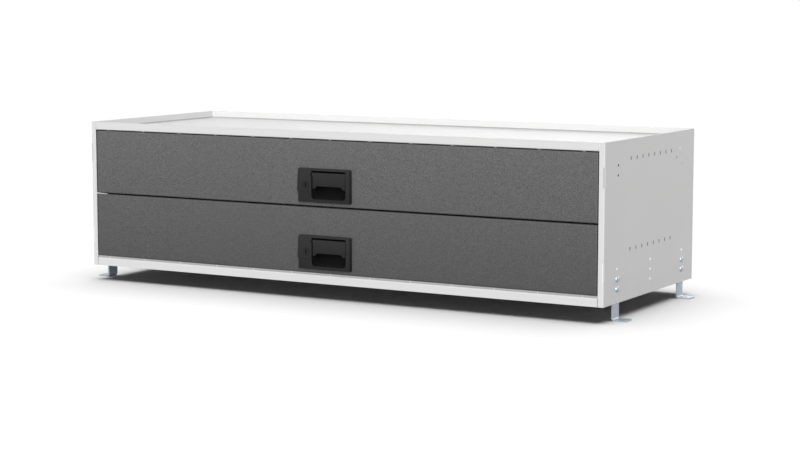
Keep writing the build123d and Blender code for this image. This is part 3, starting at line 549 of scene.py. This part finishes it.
def add_slot_shade_blank(shape, side, y, z):
    """Adds a flush blank in a slot, with its edges eased; it paints shade into the slot."""
    size = (sheet - plug_sink, slot_width - 2 * plug_play, slot_height - 2 * plug_play)
    place = Vector((side * (outer_x - plug_sink - size[0] / 2), y, z))
    matrix = Matrix.Translation(place) @ Matrix.Diagonal((*size, 1.0))
    made = bmesh.ops.create_cube(shape, size=1.0, matrix=matrix)
    edges = {edge for vert in made["verts"] for edge in vert.link_edges}
    bmesh.ops.bevel(shape, geom=list(edges), offset=2 * plug_play, segments=2, affect="EDGES")


def add_side_details(side, name, materials):
    """The black blanks of the slots and black linings of the open holes, which paint shade into them, the
    white rings of the other open holes and the plugs of one side panel.
    """
    shade_blanks = bmesh.new()
    for z in (base_z + lower_slot_rise, top_z - upper_slot_drop):
        for step in range(slot_count):
            add_slot_shade_blank(shade_blanks, side, middle_y + (step - (slot_count - 1) / 2) * slot_pitch, z)
    (near_inset, near_drop), (far_inset, far_drop) = tie_holes
    add_turned(shade_blanks, shade_disc_profile(tie_hole_radius), side, back_y - far_inset, top_z - far_drop)
    shade_linings = bmesh.new()
    rises = [base_z + row_rise + row * row_pitch for row in range(plug_rows)]
    drops = [top_z - row_rise - row * row_pitch for row in open_rows]
    for z in drops:
        add_turned(shade_linings, grommet_profile(hole_radius), side, front_y + column_inset, z)
    plugs = bmesh.new()
    places = [(front_y + column_inset, rises[-1]), (back_y - column_inset, rises[-1])]
    places += [(middle_y, z) for z in rises]
    for y, z in places:
        add_turned(plugs, dome_profile(hole_radius), side, y, z)
    add_turned(plugs, dome_profile(tie_hole_radius), side, back_y - near_inset, top_z - near_drop)
    rings = bmesh.new()
    for z in drops:
        add_turned(rings, grommet_profile(hole_radius), side, back_y - column_inset, z)
    # Painted shade: black blanks and linings darken the slots and holes
    add_piece(name + "_slot_blanks", shade_blanks, materials["black_rubber"])
    add_piece(name + "_hole_linings", shade_linings, materials["black_rubber"])
    add_piece(name + "_hole_plugs", plugs, materials["white_nylon"])
    add_piece(name + "_hole_rings", rings, materials["white_nylon"])


def add_foot_bolts(materials):
    """The bolts of the feet, with round heads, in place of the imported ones."""
    low, high = (Vector(corner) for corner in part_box("foot_bolts"))
    turns = [pi / 2 * step / bolt_head_steps for step in range(bolt_head_steps)]
    profile = [(bolt_head_radius * sin(turn), bolt_head_height * cos(turn)) for turn in turns]
    profile += [(bolt_head_radius, 0.0), (bolt_radius, 0.0), (bolt_radius, -bolt_reach), (0.0, -bolt_reach)]
    bolts = bmesh.new()
    for side in (1, -1):
        for y in (low.y + packed_head_radius, high.y - packed_head_radius):
            for z in (low.z + packed_head_radius, high.z - packed_head_radius):
                add_turned(bolts, profile, side, y, z)
    piece = add_piece("round_foot_bolts", bolts, materials["zinc_fasteners"])
    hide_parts("foot_bolts")


def add_bar(shape, section, start, end, axis):
    """Adds a bar with a closed section, from start to end along an axis (0 is X, 1 is Y)."""
    rings = []
    for reach in (start, end):
        ring = []
        for across, z in section:
            place = (reach, across, z) if axis == 0 else (across, reach, z)
            ring.append(shape.verts.new(place))
        rings.append(ring)
    count = len(section)
    for index in range(count):
        following = (index + 1) % count
        shape.faces.new((rings[0][index], rings[0][following], rings[1][following], rings[1][index]))
    shape.faces.new(rings[0])
    shape.faces.new(rings[1])


def bead_section(wall, floor_z, inward):
    """A hollow fillet between a wall and the tray's floor."""
    section = [(wall, floor_z), (wall, floor_z + bead_size)]
    for step in range(1, bead_steps):
        turn = pi / 2 * step / bead_steps
        across = wall + inward * bead_size * (1 - cos(turn))
        section.append((across, floor_z + bead_size * (1 - sin(turn))))
    section.append((wall + inward * bead_size, floor_z))
    return section


def add_shade_strips(materials):
    """Grey strips of painted shade: one under the lower front, broken at the nubs, and beads in the corners
    of the top tray.
    """
    tray_low, tray_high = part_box("top_tray")
    inner_x = tray_high[0] - sheet
    inner_y = tray_high[1] - sheet
    floor_z = tray_low[2] + tray_floor_rise
    # Grey beads as painted shade at the foot of the tray's walls
    shade_beads = bmesh.new()
    add_bar(shade_beads, bead_section(inner_y, floor_z, -1), -inner_x, inner_x, 0)
    for side in (-1, 1):
        section = bead_section(side * inner_x, floor_z, -side)
        add_bar(shade_beads, section, tray_low[1] + sheet, inner_y - bead_size, 1)
    add_piece("tray_beads", shade_beads, materials["grey_sealant"])
    # The strip stands in front of the base tray's upstand, grey as painted shade under the lower front
    low_z = base_z + base_lip + shade_strip_foot
    high_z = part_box("base_tray")[1][2]
    back = front_y + upstand_set_back
    front = back - shade_strip_thickness
    section = [(back, low_z), (front, low_z), (front, high_z), (back, high_z)]
    reach = outer_x - nub_inset
    pitch = 2 * reach / (nub_count - 1)
    end = reach + pitch / shade_strip_end_parts
    edges = [-end] + [step * pitch - reach for step in range(nub_count)] + [end]
    shade_strip = bmesh.new()
    for start, end in zip(edges, edges[1:]):
        add_bar(shade_strip, section, start + shade_strip_gap / 2, end - shade_strip_gap / 2, 0)
    add_piece("lower_front_seal", shade_strip, materials["grey_sealant"])


def rounded_path(corners, reach, steps):
    """A path through corners in a plane, each inner corner eased over a reach to both sides."""
    path = [Vector(corners[0])]
    for before, corner, after in zip(corners, corners[1:], corners[2:]):
        corner = Vector(corner)
        start = corner + (Vector(before) - corner).normalized() * reach
        end = corner + (Vector(after) - corner).normalized() * reach
        for step in range(steps + 1):
            share = step / steps
            path.append(start.lerp(corner, share).lerp(corner.lerp(end, share), share))
    return path + [Vector(corners[-1])]


def add_spring(level, materials):
    """The leaf spring under a latch bar, with rounded folds."""
    node = level + "_latch_spring"
    low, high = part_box(node)
    half = spring_gauge / 2
    corners = [(low[0], low[2] + half), (high[0] - half, low[2] + half)]
    corners += [(low[0] + half, high[2] - half), (high[0], high[2] - half)]
    path = rounded_path(corners, spring_bend, spring_bend_steps)
    strip = bmesh.new()
    rings = []
    for index, point in enumerate(path):
        heading = path[min(index + 1, len(path) - 1)] - path[max(index - 1, 0)]
        across = Vector((-heading.y, heading.x)).normalized() * half
        upper = point + across
        lower = point - across
        edge = [(upper, low[1]), (upper, high[1]), (lower, high[1]), (lower, low[1])]
        rings.append([strip.verts.new((place.x, y, place.y)) for place, y in edge])
    for near, far in zip(rings, rings[1:]):
        for index in range(len(near)):
            following = (index + 1) % len(near)
            strip.faces.new((near[index], near[following], far[following], far[index]))
    strip.faces.new(rings[0])
    strip.faces.new(rings[-1])
    spring = add_piece(level + "_leaf_spring", strip, materials["runner_steel"], level + "_drawer")
    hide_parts(node)
    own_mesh(spring)


def add_inlays(materials):
    """Flush inlays in the corner slots of the posts, grey above and white below."""
    upper = ("upper", top_z - post_slot_drop, "grey_inlay")
    lower = ("lower", base_z + post_slot_rise, "white_nylon")
    for name, middle, material in (upper, lower):
        inlays = bmesh.new()
        for side in (-1, 1):
            z_low = middle - post_slot_height / 2 + inlay_play
            z_high = middle + post_slot_height / 2 - inlay_play
            section = [(front_y + post_slot_sink, z_low), (front_y + inlay_play, z_low + inlay_play)]
            section += [(front_y + inlay_play, z_high - inlay_play), (front_y + post_slot_sink, z_high)]
            inner = side * (outer_x - post_slot_width + inlay_play)
            add_bar(inlays, section, inner, side * (outer_x - post_slot_sink), 0)
        add_piece(name + "_post_inlays", inlays, materials[material])


def add_finger(materials):
    """A tapered finger on the left post, in the gap between the two fronts."""
    low_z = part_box("lower_drawer_front")[1][2] + finger_play
    high_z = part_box("upper_drawer_front")[0][2] - finger_play
    root_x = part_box("left_side_panel")[1][0]
    tip_x = root_x + finger_reach
    tip_z = low_z + (high_z - low_z) * finger_tip_share
    finger = bmesh.new()
    outline = [(root_x, low_z), (tip_x, low_z), (tip_x, tip_z), (root_x, high_z)]
    faces = []
    for y in (front_y + finger_set_back, front_y + finger_set_back + sheet):
        faces.append([finger.verts.new((x, y, z)) for x, z in outline])
    for ring in faces:
        finger.faces.new(ring)
    for index in range(len(outline)):
        following = (index + 1) % len(outline)
        finger.faces.new((faces[0][index], faces[0][following], faces[1][following], faces[1][index]))
    add_piece("gap_finger", finger, materials["grey_inlay"])


def add_camera():
    """The camera of the photograph."""
    data = bpy.data.cameras.new("camera")
    data.lens = focal_length
    data.sensor_width = sensor_width
    data.sensor_fit = "HORIZONTAL"
    camera = link(bpy.data.objects.new("camera", data))
    turn = Matrix.Rotation(camera_azimuth, 4, "Z") @ Matrix.Rotation(pi / 2 - camera_elevation, 4, "X")
    camera.matrix_world = Matrix.Translation(camera_place) @ turn @ Matrix.Rotation(camera_roll, 4, "Z")
    bpy.context.scene.camera = camera


def add_sun(name, level, azimuth, elevation, spread, floor, lights_floor, shadows=True):
    """A soft distant lamp from an azimuth to the right of -Y, for the floor alone or for all the rest."""
    data = bpy.data.lights.new(name, "SUN")
    data.energy = level * pi
    data.angle = spread
    data.use_shadow = shadows
    lamp = link(bpy.data.objects.new(name, data))
    towards = Vector((sin(azimuth) * cos(elevation), -cos(azimuth) * cos(elevation), sin(elevation)))
    lamp.rotation_mode = "QUATERNION"
    lamp.rotation_quaternion = towards.to_track_quat("Z", "Y")
    lit = bpy.data.collections.new(name + "_lit")
    lit.objects.link(floor)
    lit.collection_objects[0].light_linking.link_state = "INCLUDE" if lights_floor else "EXCLUDE"
    lamp.light_linking.receiver_collection = lit


def seen_rays(tree):
    """One for rays from the camera, in a gloss or through a clear body, else zero."""
    path = tree.nodes.new("ShaderNodeLightPath")
    total = path.outputs["Is Camera Ray"]
    for kind in ("Is Glossy Ray", "Is Transmission Ray"):
        larger = tree.nodes.new("ShaderNodeMath")
        larger.operation = "MAXIMUM"
        tree.links.new(total, larger.inputs[0])
        tree.links.new(path.outputs[kind], larger.inputs[1])
        total = larger.outputs[0]
    return total


def add_world():
    """A white studio for what is seen, which adds only a faint light to the surfaces."""
    world = bpy.data.worlds.new("studio")
    bpy.context.scene.world = world
    world.use_nodes = True
    tree = world.node_tree
    background = tree.nodes["Background"]
    level = tree.nodes.new("ShaderNodeMapRange")
    level.inputs["To Min"].default_value = sky_level
    tree.links.new(seen_rays(tree), level.inputs["Value"])
    tree.links.new(level.outputs["Result"], background.inputs["Strength"])
    background.inputs["Color"].default_value = (1, 1, 1, 1)


def add_floor():
    """A plain white floor, which sends less light back to the cabinet than it shows."""
    mesh = bpy.data.meshes.new("floor")
    half = floor_size / 2
    corners = [(-half, -half, 0), (half, -half, 0), (half, half, 0), (-half, half, 0)]
    mesh.from_pydata(corners, [], [(0, 1, 2, 3)])
    floor = link(bpy.data.objects.new("floor", mesh))
    paint = Shader("floor_paint")
    paint.fix(Roughness=floor_roughness, Specular_IOR_Level=0.0)
    clouds = paint.noise(floor_cloud_size, detail=2.0)
    white = (floor_white,) * 3
    shown = paint.mix(paint.spread(clouds, *wide_band), white, shade(white, floor_cloud_shade))
    tint = paint.mix(seen_rays(paint.tree), (floor_bounce,) * 3, shown)
    floor.data.materials.append(paint.finish(tint))
    return floor


bpy.context.scene.view_settings.view_transform = "Standard"
add_camera()
ground = add_floor()
add_sun("key", key_level, key_azimuth, key_elevation, key_spread, ground, False)
add_sun("overhead", top_level, 0.0, zenith, top_spread, ground, False)
add_sun("left", rear_level, left_azimuth, rear_elevation, left_spread, ground, False)
add_sun("back", rear_level, back_azimuth, rear_elevation, back_spread, ground, False)
add_sun("floor_lamp", floor_level, floor_azimuth, floor_elevation, floor_spread, ground, True)
add_sun("floor_fill", floor_fill, 0.0, zenith, 0.0, ground, True, shadows=False)
add_world()
materials = make_materials()
dress_nodes(materials)
for side, name in ((1, "right"), (-1, "left")):
    add_side_details(side, name, materials)
add_foot_bolts(materials)
add_shade_strips(materials)
add_inlays(materials)
add_finger(materials)
for level in ("upper", "lower"):
    add_spring(level, materials)
